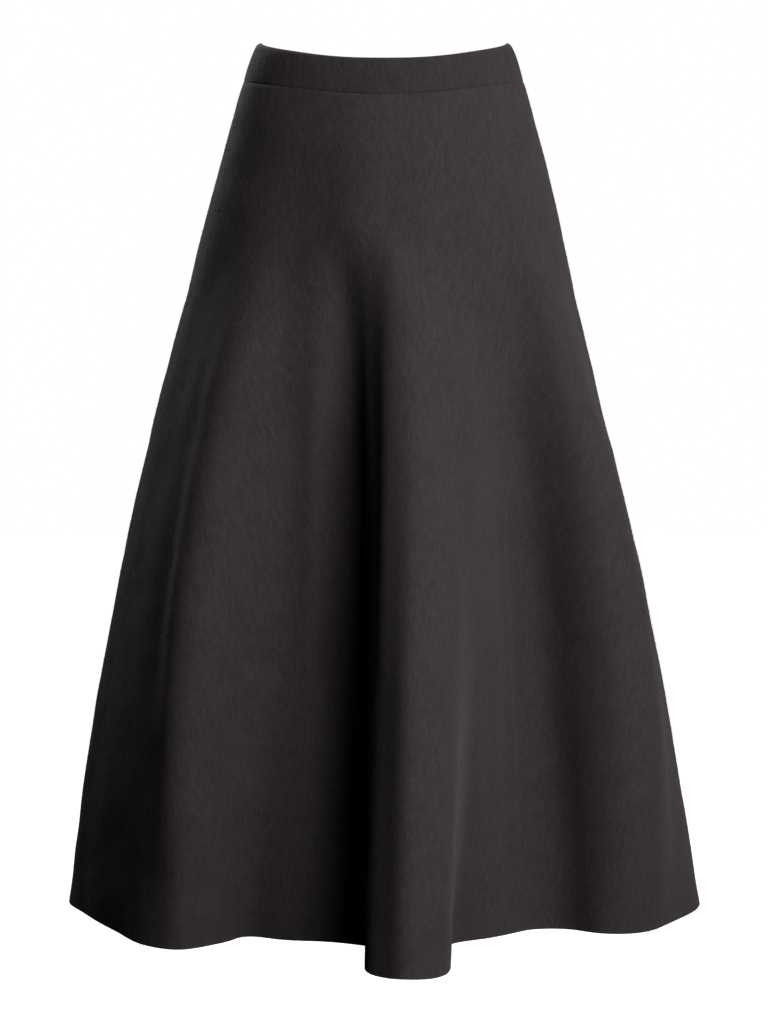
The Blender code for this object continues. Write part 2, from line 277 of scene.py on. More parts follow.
# %% The creases, with every length in millimetres
Crease = namedtuple("Crease", "name line beside_top beside_end start end width rise")


def crease_in_mm(name, line, *lengths):
    """A crease from its row of the table, in metres."""
    return Crease(name, line, *(length / 1000 for length in lengths))


CREASES = [crease_in_mm(*row) for row in (
    ("front of the hips", "centre flute, left neck", 4, 0, 30, 250, 30, 2),
    ("left of the hips", "left apron, outer", 0, 4, 40, 260, 34, -1.4),
    ("ridge beside the valley", "left apron, inner", -4, 4, 200, 560, 9, 1.6),
    ("long trough, left", "left apron, outer", -2, 8, 270, 640, 16, -2.2),
    ("short ridge, left", "left valley", 2, 0, 480, 760, 12, 1.2),
    ("far left", "left wall, back", 0, -6, 420, 780, 24, -1.2),
    ("pinch in the centre flute", "centre flute, right wall", -3, -4, 600, 778, 3.8, -1.6),
    ("right flank, upper", "centre flute, right neck", -6, 10, 260, 520, 18, 1.6),
    ("right flank, lower", "right apron, inner", 4, 10, 430, 760, 13, -1.3),
    ("light line on the right", "right apron, outer", 10, 18, 380, 770, 8, 1.6),
    ("right valley", "right valley", 8, 20, 300, 640, 11, -2.2),
    ("short crease, right", "right ridge, inner side", 2, 6, 410, 540, 5, -1.2),
    ("fine crease, right", "right ridge, inner side", 12, 14, 610, 740, 4.2, -1.1),
    ("right ridge, side", "right ridge, outer side", 2, -6, 340, 720, 18, -1.6),
    ("apron, outer half", "left flute, foot", -12, -30, 350, 1250, 36, 14),
    ("apron, inner half", "left apron, inner", 9, 3, 320, 1150, 32, -10.5),
    ("top of the hollow", "left apron, inner", 2, 6, 165, 460, 14, -4.5),
    ("left flute, upper side", "left flute, lip", 0, 4, 120, 720, 30, 7.5),
    ("hollow beside it", "left apron, outer", 0, 0, 150, 620, 28, -3),
    ("front of the centre flute", "centre flute, crest", 10, 14, 180, 950, 20, 6),
    ("shoulder of the centre flute", "centre flute, left corner", 11, 44, 170, 1000, 12, 6.6),
    ("mouth of the hollow, left", "centre flute, left neck", -5, 0, 160, 560, 13, -6.4),
    ("mouth of the hollow, right", "centre flute, left corner", -3, 2, 160, 560, 13, 5.2),
    ("corner beside the centre flute", "centre flute, right neck", -6, -6, 450, 1150, 16, 2),
    ("right ridge, brought forward", "right ridge, outer side", 0, 0, 300, 1250, 40, 10),
    ("hollow beside the right ridge", "right valley", 25, 26, 300, 1250, 25, -12.5),
    ("back of the hips", "centre back flute, left crest", 6, 0, 35, 260, 36, 1.8),
    ("right back trough", "right back valley", 0, 6, 320, 740, 17, -1.8),
    ("right back pinch", "right back flute, inner side", -2, 2, 560, 778, 5, -1.3),
    ("centre back ridge", "centre back valley, floor", 4, -4, 300, 620, 12, 1.4),
    ("centre back trough", "centre back flute, left side", 0, 10, 420, 760, 11, -1.6),
    ("left back ridge", "left back valley, floor", -6, 2, 380, 770, 10, 1.4),
    ("left back trough", "left back hollow", 2, -6, 330, 700, 16, -1.7),
)]
CREASE_ARCH = 0.8


def lengths_round(rows):
    """How far along its ring each point is from the left side seam."""
    steps = np.linalg.norm(np.roll(rows, -1, axis=1) - rows, axis=2)
    return np.cumsum(steps, axis=1) - steps


def crease_relief(rows, drops):
    """The height of all the creases at each point."""
    names = [line.name for line in FOLD_LINES]
    along = lengths_round(rows)
    relief = np.zeros(along.shape)
    for crease in CREASES:
        way = (drops - crease.start) / (crease.end - crease.start)
        beside = crease.beside_top + (crease.beside_end - crease.beside_top) * way
        centre = along[:, names.index(crease.line) * STEPS_IN_SPAN] + beside
        arch = np.sin(np.pi * np.clip(way, 0, 1)) ** CREASE_ARCH
        strength = np.where((way > 0) & (way < 1), arch, 0)
        across = (along - centre[:, None]) / crease.width
        relief += crease.rise * strength[:, None] * np.exp(-(across**2))
    return relief


creases = crease_relief(plain_cloth, CLOTH_DROPS)
lowest, highest = (1000 * creases.min()).round(1), (1000 * creases.max()).round(1)
print("Creases reach from", lowest, "to", highest, "mm")

# %% [markdown]
# ## Seams pull the cloth in
# Where two edges are joined, the cloth rounds in to the stitches and leaves a groove that reads as
# a dark line. The same function makes the groove under the waistband and the ones down the sides,
# from each point's distance to the seam. A little smooth noise on top keeps the light on the cloth
# from looking machined.

# %% Grooves and unevenness
SEAM_GROOVE = 0.0010
GROOVE_AT_SIDES = 0.25
GROOVE_UNEVENNESS = 0.7
GROOVE_LUMPS = 0.035
SOFT_EDGE = 0.0045


def near_edge(distance, soft_edge=SOFT_EDGE):
    """1 at an edge and 0 from a soft edge's width away, with a round shoulder between."""
    inside = np.clip(1 - distance / soft_edge, 0, 1)
    return 1 - np.sqrt(1 - inside**2)


def groove_depths(seam):
    """How deep the waist seam draws in along its ring: least at the sides, and uneven."""
    facing = np.abs(seam[:, 1]) / np.hypot(seam[:, 0], seam[:, 1])
    uneven = np.array([noise.noise(Vector(point) / GROOVE_LUMPS) for point in seam])
    share = GROOVE_AT_SIDES + (1 - GROOVE_AT_SIDES) * facing
    return SEAM_GROOVE * share * (1 + GROOVE_UNEVENNESS * uneven)


def to_side_seam(rows):
    """Each point's distance along its ring to the nearer side seam."""
    along = lengths_round(rows)
    whole = along[:, -1:] + np.linalg.norm(rows[:, :1] - rows[:, -1:], axis=2)
    right = along[:, RIGHT_SEAM][:, None]
    return np.minimum.reduce([along, whole - along, np.abs(along - right)])


def unevenness(rows, size, height):
    """Smooth noise over the rows, with lumps of about a size."""
    flat = [noise.noise(Vector(point) / size) for point in rows.reshape(-1, 3)]
    return height * np.array(flat).reshape(rows.shape[:2])


# %% The face of the cloth, with creases, lumps and grooves
SIDE_GROOVE = 0.0009
SIDE_SOFT_EDGE = 0.006
BROAD_LUMPS = {"size": 0.060, "height": 0.0011}
FINE_LUMPS = {"size": 0.022, "height": 0.0004}
waist_groove = groove_depths(ring(BAND_HEIGHT))
at_waist = near_edge(CLOTH_DROPS - BAND_HEIGHT)[:, None]
lumps = [unevenness(plain_cloth, **kind) for kind in (BROAD_LUMPS, FINE_LUMPS)]
cloth_relief = (creases + lumps[0] + lumps[1]) * (1 - at_waist) - waist_groove * at_waist
cloth_relief = cloth_relief - SIDE_GROOVE * near_edge(to_side_seam(plain_cloth), SIDE_SOFT_EDGE)
cloth_face = plain_cloth + cloth_relief[:, :, None] * cloth_out
print("The cloth's lowest point is at z =", cloth_face[:, :, 2].min().round(4), "m")

# %% [markdown]
# ## Cloth as a sheet with a wall
# Each panel is one open sheet of quads between the side seams. A Solidify modifier gives it the
# knit's thickness on the inside, and a Bevel rounds the cut edges, so the hem has a real, soft
# edge. Every point also carries two things for the finish. The first is its place on the flat cloth
# in metres, kept as a UV map, so that the knit runs with the cloth round each flute. The second is
# how near it is to the hem or the band's fold, where the colour is painted lighter as a painted
# highlight. Both panels reach just over the side seams, to let no light through. A second, bare
# sheet of each panel is kept for the tufts and the nap to grow on.

# %% A sheet from rows of points
SEAM_OVERLAP = 0.0001
SHARP_FROM = np.radians(55)


def cut_panel(rows, first, last):
    """The columns of a panel between two seams, with both ends just over the seam."""
    columns = np.arange(first, last + 1) % rows.shape[1]
    cut = rows[:, columns].copy()
    for end, beside in ((0, 1), (-1, -2)):
        inward = cut[:, beside] - cut[:, end]
        inward /= np.linalg.norm(inward, axis=1, keepdims=True)
        cut[:, end] -= inward * SEAM_OVERLAP / 2
    return cut


def flat_places(rows):
    """Places on the flat cloth in metres, from the middle of its top edge, with y running up."""
    across = np.cumsum(np.linalg.norm(np.diff(rows, axis=1, prepend=rows[:, :1]), axis=2), axis=1)
    across = across - across[:, -1:] / 2
    down = np.cumsum(np.linalg.norm(np.diff(rows, axis=0, prepend=rows[:1]), axis=2), axis=0)
    return np.stack([across, -down], axis=2)


def open_sheet(name, rows, edge_highlight):
    """Quads through rows of points, with their flat places and painted highlight at each point."""
    height, width = rows.shape[:2]
    index = np.arange(height * width).reshape(height, width)
    quads = np.stack([index[:-1, :-1], index[1:, :-1], index[1:, 1:], index[:-1, 1:]], axis=2)
    mesh = bpy.data.meshes.new(name)
    mesh.from_pydata(rows.reshape(-1, 3).tolist(), [], quads.reshape(-1, 4).tolist())
    corners = np.zeros(len(mesh.loops), dtype=np.int32)
    mesh.loops.foreach_get("vertex_index", corners)
    flat = flat_places(rows).reshape(-1, 2)[corners]
    mesh.uv_layers.new(name="flat_cloth").data.foreach_set("uv", flat.astype(np.float32).ravel())
    highlight_layer = mesh.attributes.new("edge_highlight", "FLOAT", "POINT")
    highlight_layer.data.foreach_set("value", edge_highlight.astype(np.float32).ravel())
    mesh.shade_smooth()
    piece = bpy.data.objects.new(name, mesh)
    bpy.context.scene.collection.objects.link(piece)
    return piece


def give_wall(piece, wall, rounding):
    """Thickens a sheet inwards and rounds its edges."""
    thicken = piece.modifiers.new("wall", "SOLIDIFY")
    thicken.thickness = wall
    thicken.offset = -1
    thicken.use_quality_normals = True
    soften = piece.modifiers.new("round edges", "BEVEL")
    soften.width = rounding
    soften.segments = 2
    soften.limit_method = "ANGLE"
    soften.angle_limit = SHARP_FROM


# %% The two panels
HALVES = {"front": (0, RIGHT_SEAM), "back": (RIGHT_SEAM, WHOLE_ROUND)}
# Painted highlight: the colour is painted lighter just above the hem, as if its fuzz caught light.
HEM_HIGHLIGHT = 0.8
HEM_HIGHLIGHT_HEIGHT = 0.010
HEM_ROUNDING = 0.0007
hem_highlight = HEM_HIGHLIGHT * near_edge(SKIRT_DROP - CLOTH_DROPS, HEM_HIGHLIGHT_HEIGHT)
cloth_highlight = np.broadcast_to(hem_highlight[:, None], cloth_face.shape[:2])
panels, naps = {}, {}
for half, (first, last) in HALVES.items():
    rows = cut_panel(cloth_face, first, last)
    edge_highlight = cloth_highlight[:, : rows.shape[1]]
    panels[half] = open_sheet(f"skirt_{half}_cloth", rows, edge_highlight)
    naps[half] = open_sheet(f"skirt_{half}_nap", rows, edge_highlight)
    give_wall(panels[half], CLOTH_WALL, HEM_ROUNDING)
    print(panels[half].name, "has", len(panels[half].data.polygons), "faces before its wall")

# %% [markdown]
# ## The waistband
# The band is one strip of the same knit, folded over flat elastic, so it has two layers and a
# rounded top. Its rows therefore go up the inside, over the fold and down the outside. The elastic
# makes both layers puff out between their edges and gathers them very slightly, in low upright
# ripples. The top edge stands a little high above the side seams and at the middle, where the
# elastic pulls least.

# %% A strip folded over elastic
FOLD_RISE = 0.0042
FOLD_STEPS = 11
OVER_SEAM = np.array([
    0, 0.0008, 0.0018, 0.0035, 0.0070, 0.0110, 0.0150, 0.0190, 0.0230, 0.0265])


def band_path():
    """The strip's way over the fold, as drops below the top and depths behind the outer face."""
    inner = BAND_HEIGHT - OVER_SEAM
    turn = np.radians(np.linspace(180, 0, FOLD_STEPS))
    over = BAND_WALL / 2 * (1 - np.cos(turn))
    drops = np.concatenate([inner, FOLD_RISE * (1 - np.sin(turn)), inner[::-1]])
    depths = np.concatenate([np.full(len(OVER_SEAM), BAND_WALL), over, np.zeros(len(OVER_SEAM))])
    return drops, depths


band_drops, band_depths = band_path()
print("The strip's way over the fold has", len(band_drops), "points")

# %% The top edge, a little high at the sides and the middle
CORNER_LIFT = 0.0026
CORNER_REACH = 0.5
MIDDLE_LIFT = 0.0022
MIDDLE_POWER = 8
band_plain = np.array([ring(drop) for drop in band_drops])
facing = np.abs(band_plain[:, :, 1]) / np.hypot(band_plain[:, :, 0], band_plain[:, :, 1])
corner = np.clip(1 - facing / CORNER_REACH, 0, 1) ** 2
lift = CORNER_LIFT * corner + MIDDLE_LIFT * facing**MIDDLE_POWER
band_plain[:, :, 2] += (1 - band_drops / BAND_HEIGHT)[:, None] * lift
print("The top edge is lifted by up to", (1000 * lift.max()).round(1), "mm")

# %% Puff, ripples and grooves
BAND_PUFF = 0.0016
INNER_PUFF = 0.3
PUFF_LEAN = 0.6
RIPPLES = {"size": 0.008, "height": 0.00035}
RIPPLES_UPRIGHT = np.array([1, 1, 0.25])
BAND_SIDE_GROOVE = 0.0008
BAND_SIDE_EDGE = 0.005
OUTWARD_RINGS = 12
band_rings = np.array([ring(drop) for drop in np.linspace(0, BAND_HEIGHT, OUTWARD_RINGS)])
nearest = np.round(band_drops / BAND_HEIGHT * (OUTWARD_RINGS - 1)).astype(int)
band_out = outward(band_rings)[np.clip(nearest, 0, OUTWARD_RINGS - 1)]
swell = np.sin(np.pi * (band_drops / BAND_HEIGHT) ** PUFF_LEAN)[:, None]
groove = near_edge(BAND_HEIGHT - band_drops)[:, None] * waist_groove
outer_share = (1 - band_depths / BAND_WALL)[:, None]
outer_puff = (BAND_PUFF * swell - groove) * outer_share
inner_puff = INNER_PUFF * BAND_PUFF * swell * (1 - outer_share)
ripple = unevenness(band_plain * RIPPLES_UPRIGHT, **RIPPLES) * swell
side = BAND_SIDE_GROOVE * near_edge(to_side_seam(band_plain), BAND_SIDE_EDGE) * outer_share
stand_out = outer_puff - inner_puff + ripple - side - band_depths[:, None]
band_face = band_plain + stand_out[:, :, None] * band_out
strip = np.linalg.norm(np.diff(band_face[:, RIGHT_SEAM // 2], axis=0), axis=1).sum()
print("The band's strip is", round(1000 * strip), "mm wide")

# %% The band's two halves
BAND_LAYER = 0.0017
# Painted highlight: the colour is painted lighter near the band's fold, as if its fuzz caught
# light.
FOLD_HIGHLIGHT = 0.7
FOLD_HIGHLIGHT_HEIGHT = 0.006
BAND_ROUNDING = 0.0005
fold_highlight = FOLD_HIGHLIGHT * near_edge(band_drops, FOLD_HIGHLIGHT_HEIGHT)
bands = {}
for half, (first, last) in HALVES.items():
    rows = cut_panel(band_face, first, last)
    edge_highlight = np.broadcast_to(fold_highlight[:, None], rows.shape[:2])
    bands[half] = open_sheet(f"waistband_{half}_cloth", rows, edge_highlight)
    give_wall(bands[half], BAND_LAYER, BAND_ROUNDING)
    print(bands[half].name, "has", len(bands[half].data.polygons), "faces before its wall")

# %% [markdown]
# ## Felted wool
# Felted knit is made of three scales of detail. The stitches are small Vs in upright columns, half
# hidden under the felt, with their legs painted a little lighter than the gaps between them: a
# painted shade in the gaps. Over them lies a haze of short fibres that mostly run down the cloth.
# Broad, faint patches come from the washing. All of them are made from the flat place of the cloth
# in metres, so their sizes can be given as they are on the real thing. Near the hem and the band's
# fold the colour is painted lighter, a painted highlight. Wool also lights up softly at grazing
# angles, which the sheen does.

# %% Node helpers
def add_node(tree, kind, inputs=None, **settings):
    """A node of a kind, with its settings, and its inputs either linked or given a value."""
    made = tree.nodes.new(kind)
    for name, value in settings.items():
        setattr(made, name, value)
    for name, value in (inputs or {}).items():
        if isinstance(value, bpy.types.NodeSocket):
            tree.links.new(value, made.inputs[name])
        else:
            made.inputs[name].default_value = value
    return made


def maths(tree, operation, *values):
    """A Math node's result."""
    inputs = dict(enumerate(values))
    return add_node(tree, "ShaderNodeMath", inputs, operation=operation).outputs[0]


# %% The stitch
WALE = 0.0019
COURSE = 0.0015
LEG_SPREAD = 2.4
HALF_WAVE = 3.14159


def stitch_height(tree, place):
    """The height of a knit stitch: two legs that lean together in each upright column."""
    parts = add_node(tree, "ShaderNodeSeparateXYZ", {0: place})
    column = maths(tree, "FRACT", maths(tree, "DIVIDE", parts.outputs["X"], WALE))
    from_middle = maths(tree, "ABSOLUTE", maths(tree, "SUBTRACT", column, 0.5))
    row = maths(tree, "DIVIDE", parts.outputs["Y"], COURSE)
    leaning = maths(tree, "FRACT", maths(tree, "SUBTRACT", row, from_middle))
    leg = maths(tree, "SINE", maths(tree, "MULTIPLY", leaning, HALF_WAVE))
    narrowing = maths(tree, "COSINE", maths(tree, "MULTIPLY", from_middle, LEG_SPREAD))
    return maths(tree, "MULTIPLY", leg, narrowing)


print("A stitch is", 1000 * WALE, "mm wide and", 1000 * COURSE, "mm high")

# %% The felt over it
Felt = namedtuple("Felt", "grains_per_m detail lightness height", defaults=(0, 0))
FIBRE_HAZE = Felt(1150.0, 3.0, 0.50, 0.7)
SMALL_TUFTS = Felt(420.0, 2.0, 0.62, 1.5)
CLUMPS = Felt(190.0, 2.0, 0.42, 1.2)
PATCHES = Felt(24.0, 2.0, 0.24)
WANDER = Felt(260.0, 2.0)
WANDER_REACH = 0.0016
ALONG_CLOTH = (1.0, 0.30, 1.0)
# How much lighter the stitch legs are painted than their gaps: a painted shade in the gaps.
PAINTED_STITCH_SHADE = 0.16
# How much lighter the hem and the band's fold are painted: a painted highlight.
HIGHLIGHT_LIGHTNESS = 0.30
DARKEST, LIGHTEST = 0.60, 1.24
BUMP = {"Strength": 0.75, "Distance": 0.0005}


def felt_noise(tree, place, felt):
    """Smooth noise with the grains of one layer of the felt."""
    inputs = {"Vector": place, "Scale": felt.grains_per_m, "Detail": felt.detail}
    return add_node(tree, "ShaderNodeTexNoise", inputs).outputs


def wandering(tree, flat):
    """The flat place, moved a little at random so that the columns of stitches aren't ruled."""
    noise_at = felt_noise(tree, flat, WANDER)["Color"]
    inputs = {0: noise_at, 1: (0.5, 0.5, 0.5)}
    off_grid = add_node(tree, "ShaderNodeVectorMath", inputs, operation="SUBTRACT").outputs[0]
    inputs = {0: off_grid, "Scale": WANDER_REACH}
    nudge = add_node(tree, "ShaderNodeVectorMath", inputs, operation="SCALE").outputs[0]
    return add_node(tree, "ShaderNodeVectorMath", {0: flat, 1: nudge}).outputs[0]


def mixed(tree, share, dark, light):
    """A colour between a dark and a light one."""
    inputs = {0: share, 6: dark, 7: light}
    return add_node(tree, "ShaderNodeMix", inputs, data_type="RGBA").outputs[2]


def felted_wool(name, dark, light, stitches, felt):
    """A wool knit's material, with the strengths of its stitches and its felt."""
    material = bpy.data.materials.new(name)
    material.use_nodes = True
    tree = material.node_tree
    shader = tree.nodes["Principled BSDF"]
    flat = add_node(tree, "ShaderNodeUVMap", uv_map="flat_cloth").outputs["UV"]
    edge_highlight = add_node(tree, "ShaderNodeAttribute", attribute_name="edge_highlight").outputs["Fac"]
    place = wandering(tree, flat)
    knit = stitch_height(tree, place)
    inputs = {"Vector": place, "Scale": ALONG_CLOTH}
    stretched = add_node(tree, "ShaderNodeMapping", inputs).outputs[0]

    lightness, height = 0.0, maths(tree, "MULTIPLY", knit, stitches)
    for layer in (FIBRE_HAZE, SMALL_TUFTS, CLUMPS):
        grains = felt_noise(tree, stretched, layer)["Fac"]
        lightness = maths(tree, "MULTIPLY_ADD", grains, layer.lightness, lightness)
        height = maths(tree, "MULTIPLY_ADD", grains, felt * layer.height, height)
    patches = felt_noise(tree, flat, PATCHES)["Fac"]
    lightness = maths(tree, "MULTIPLY_ADD", patches, PATCHES.lightness, lightness)
    # Painted shade: the stitch legs are painted lighter than the gaps between them.
    lightness = maths(tree, "MULTIPLY_ADD", knit, stitches * PAINTED_STITCH_SHADE, lightness)
    # Painted highlight: lighter near the hem and the band's fold.
    lightness = maths(tree, "MULTIPLY_ADD", edge_highlight, HIGHLIGHT_LIGHTNESS, lightness)
    inputs = {"Value": lightness, "From Min": DARKEST, "From Max": LIGHTEST}
    spread = add_node(tree, "ShaderNodeMapRange", inputs).outputs[0]
    tree.links.new(mixed(tree, spread, dark, light), shader.inputs["Base Color"])
    bump = add_node(tree, "ShaderNodeBump", {"Height": height, **BUMP}).outputs[0]
    tree.links.new(bump, shader.inputs["Normal"])

    shader.inputs["Roughness"].default_value = 0.93
    shader.inputs["Specular IOR Level"].default_value = 0.16
    shader.inputs["Sheen Weight"].default_value = 0.16
    shader.inputs["Sheen Roughness"].default_value = 0.45
    shader.inputs["Sheen Tint"].default_value = (0.66, 0.57, 0.61, 1.0)
    return material


# %% The finishes of the panels and the band
skirt_wool = felted_wool(
    "felted_charcoal_wool",
    dark=(0.029, 0.0238, 0.0257, 1),
    light=(0.062, 0.0510, 0.0552, 1),
    stitches=0.26,
    felt=0.6,
)
band_wool = felted_wool(
    "folded_charcoal_wool",
    dark=(0.026, 0.0214, 0.0231, 1),
    light=(0.058, 0.0477, 0.0516, 1),
    stitches=0.42,
    felt=0.6,
)
for half in HALVES:
    panels[half].data.materials.append(skirt_wool)
    bands[half].data.materials.append(band_wool)
print("Finishes:", skirt_wool.name, "and", band_wool.name)

# %% [markdown]
# ## Loose tufts and nap
# Felting also leaves things that stand off the cloth. There are short tufts, where a few fibres
# have rolled together, some lighter and some darker than the cloth, and a nap of single fibres that
# softens every edge that is seen against the light. Both are the same small shape many thousand
# times over a surface, which is what Geometry Nodes are for: points are spread over the panel, and
# each gets one tuft or one fibre that lies down the cloth with a random lean. Real fibres are finer
# than a pixel, so fewer and thicker ones stand for them.

# %% Helpers for Geometry Nodes
def new_tree(name, sizes):
    """A Geometry Nodes tree with a named input for each size, and its input and output nodes."""
    tree = bpy.data.node_groups.new(name, "GeometryNodeTree")
    tree.interface.new_socket("Geometry", in_out="OUTPUT", socket_type="NodeSocketGeometry")
    tree.interface.new_socket("Geometry", in_out="INPUT", socket_type="NodeSocketGeometry")
    for label, value in sizes.items():
        kind = "NodeSocketInt" if isinstance(value, int) else "NodeSocketFloat"
        tree.interface.new_socket(label, in_out="INPUT", socket_type=kind).default_value = value
    tree.interface.new_socket("Finish", in_out="INPUT", socket_type="NodeSocketMaterial")
    return tree, add_node(tree, "NodeGroupInput").outputs, add_node(tree, "NodeGroupOutput")


def random_number(tree, low, high, seed):
    """A random number for each point."""
    inputs = {2: low, 3: high, "Seed": seed}
    return add_node(tree, "FunctionNodeRandomValue", inputs, data_type="FLOAT").outputs[1]


def hand_out(tree, made, result, finish):
    """Ends a tree: real faces in place of instances, with their finish."""
    real = add_node(tree, "GeometryNodeRealizeInstances", {"Geometry": made})
    inputs = {"Geometry": real.outputs[0], "Material": finish}
    dyed = add_node(tree, "GeometryNodeSetMaterial", inputs)
    tree.links.new(dyed.outputs[0], result.inputs[0])


def grow(tree, surface, name, finish, **sizes):
    """Runs a tree on a surface and keeps what it makes as a plain mesh of its own."""
    grower = surface.modifiers.new(tree.name, "NODES")
    grower.node_group = tree
    for socket in tree.interface.items_tree:
        if socket.name in sizes:
            grower[socket.identifier] = sizes[socket.name]
        if socket.name == "Finish":
            grower[socket.identifier] = finish
    evaluated = surface.evaluated_get(bpy.context.evaluated_depsgraph_get())
    piece = bpy.data.objects.new(name, bpy.data.meshes.new_from_object(evaluated))
    surface.modifiers.remove(grower)
    bpy.context.scene.collection.objects.link(piece)
    print(name, "has", sum(len(face.vertices) - 2 for face in piece.data.polygons), "triangles")
    return piece


# %% Tufts and fibres that lie down the cloth
SHORTEST = 0.45
NARROWEST = 0.5


def lying_tree(name, upright, sizes, shape, size):
    """A tree that spreads a shape over a surface, each turned down the cloth with a random lean."""
    tree, given, result = new_tree(name, {**sizes, "Seed": 1})
    inputs = {"Mesh": given["Geometry"], "Density": given["Pieces per m2"], "Seed": given["Seed"]}
    spots = add_node(tree, "GeometryNodeDistributePointsOnFaces", inputs).outputs
    inputs = {0: spots["Rotation"], "Vector": (0, 0, -1)}
    down = add_node(
        tree, "FunctionNodeAlignRotationToVector", inputs, axis="Y", pivot_axis="Z").outputs[0]
    stray = maths(tree, "MULTIPLY", given["Stray"], random_number(tree, -1.0, 1.0, seed=11))
    rise = random_number(tree, *upright, seed=12)
    lean = add_node(tree, "ShaderNodeCombineXYZ", {"X": rise, "Z": stray}).outputs[0]
    turn = add_node(tree, "FunctionNodeEulerToRotation", {0: lean}).outputs[0]
    laid = add_node(
        tree, "FunctionNodeRotateRotation", {0: down, 1: turn}, rotation_space="LOCAL").outputs[0]
    scale = size(tree, given, random_number(tree, SHORTEST, 1.0, seed=13))
    inputs = {"Points": spots[0], "Instance": shape(tree), "Rotation": laid, "Scale": scale}
    placed = add_node(tree, "GeometryNodeInstanceOnPoints", inputs).outputs[0]
    shade = random_number(tree, 0.0, 1.0, seed=14)
    inputs = {"Geometry": placed, "Name": "shade", "Value": shade}
    shaded = add_node(
        tree, "GeometryNodeStoreNamedAttribute", inputs, data_type="FLOAT", domain="INSTANCE")
    hand_out(tree, shaded.outputs[0], result, given["Finish"])
    return tree


def grain(tree):
    """A round grain, one unit across."""
    inputs = {"Radius": 0.5, "Subdivisions": 1}
    return add_node(tree, "GeometryNodeMeshIcoSphere", inputs).outputs["Mesh"]


def tuft_size(tree, given, chance):
    """A tuft's width, length and height."""
    long = maths(tree, "MULTIPLY", given["Length"], chance)
    wide = maths(tree, "MULTIPLY", given["Width"], random_number(tree, NARROWEST, 1.0, seed=15))
    return add_node(tree, "ShaderNodeCombineXYZ", {0: wide, 1: long, 2: given["Height"]}).outputs[0]


def spike(tree):
    """A three-sided spike, one unit long."""
    sizes = {"Radius Top": 0.0, "Radius Bottom": 0.5, "Depth": 1.0}
    inputs = {"Vertices": 3, "Side Segments": 1, **sizes}
    return add_node(tree, "GeometryNodeMeshCone", inputs, fill_type="NONE").outputs["Mesh"]


def fibre_size(tree, given, chance):
    """A fibre's thickness and length."""
    long = maths(tree, "MULTIPLY", given["Length"], chance)
    inputs = {0: given["Width"], 1: given["Width"], 2: long}
    return add_node(tree, "ShaderNodeCombineXYZ", inputs).outputs[0]


TUFTS = {
    "Pieces per m2": 15000.0,
    "Length": 0.0044,
    "Width": 0.0010,
    "Height": 0.0004,
    "Stray": 0.6,
}
FIBRES = {"Pieces per m2": 62000.0, "Length": 0.0026, "Width": 0.00013, "Stray": 0.9}
FLAT, HALF_UPRIGHT = (0.0, 0.0), (-1.45, -0.6)
tuft_tree = lying_tree("tufts_on_felt", FLAT, TUFTS, grain, tuft_size)
nap_tree = lying_tree("nap_on_felt", HALF_UPRIGHT, FIBRES, spike, fibre_size)
print("Trees:", tuft_tree.name, "with", len(tuft_tree.nodes), "nodes, and", nap_tree.name)


# %% Their finish, and one set on each panel
def loose_wool(name, dark, light):
    """The finish of tufts or fibres, from dark to light by the shade of each one."""
    material = bpy.data.materials.new(name)
    material.use_nodes = True
    tree = material.node_tree
    shader = tree.nodes["Principled BSDF"]
    shade = add_node(tree, "ShaderNodeAttribute", attribute_name="shade").outputs["Fac"]
    tree.links.new(mixed(tree, shade, dark, light), shader.inputs["Base Color"])
    shader.inputs["Roughness"].default_value = 0.9
    shader.inputs["Specular IOR Level"].default_value = 0.15
    shader.inputs["Sheen Weight"].default_value = 0.2
    shader.inputs["Sheen Roughness"].default_value = 0.5
    return material


TUFT_SEEDS = {"front": 3, "back": 4}
FIBRE_SEEDS = {"front": 23, "back": 24}
tuft_wool = loose_wool(
    "rolled_charcoal_tufts", dark=(0.026, 0.0214, 0.0231, 1), light=(0.070, 0.0576, 0.0623, 1))
nap_wool = loose_wool(
    "charcoal_nap", dark=(0.030, 0.0247, 0.0267, 1), light=(0.078, 0.0642, 0.0694, 1))
loose = {}
for half in HALVES:
    tufts = grow(tuft_tree, naps[half], f"skirt_{half}_tufts", tuft_wool, Seed=TUFT_SEEDS[half])
    fibres = grow(nap_tree, naps[half], f"skirt_{half}_fibres", nap_wool, Seed=FIBRE_SEEDS[half])
    loose[half] = [tufts, fibres]
    bpy.data.objects.remove(naps[half])

# %% [markdown]
# ## The camera and the lights
# The photograph was taken a little above the hem's level with a long lens, so the sides barely
# converge. Its light comes from the front right: a high soft lamp, a second one further to the
# side, and a low one that lights the lower half. Little else reaches the cloth, so the far side of
# each flute is nearly black. A small lamp behind each hip draws a soft edge there, and a weak one
# behind keeps the back from being black. The pale floor is far enough below the hem to catch no
# shadow that would read as part of the skirt.

# %% The camera
def aim(thing, place, target):
    """Puts a thing at a place and turns it to look at a target."""
    thing.location = place
    thing.rotation_euler = (Vector(target) - Vector(place)).to_track_quat("-Z", "Y").to_euler()
    bpy.context.scene.collection.objects.link(thing)


LENS = 128
CAMERA_BACK = 3.3
CAMERA_OVER_HEM = 0.64
AIM_OVER_HEM = 0.3573
scene = bpy.context.scene
scene.view_settings.view_transform = "Standard"
hem_z = TOP_Z - SKIRT_DROP
lens = bpy.data.cameras.new("long_lens")
lens.lens = LENS
camera = bpy.data.objects.new("camera", lens)
aim(camera, (0, -CAMERA_BACK, hem_z + CAMERA_OVER_HEM), (0, 0, hem_z + AIM_OVER_HEM))
scene.camera = camera
print("Camera at", [round(x, 2) for x in camera.location], "with a", lens.lens, "mm lens")

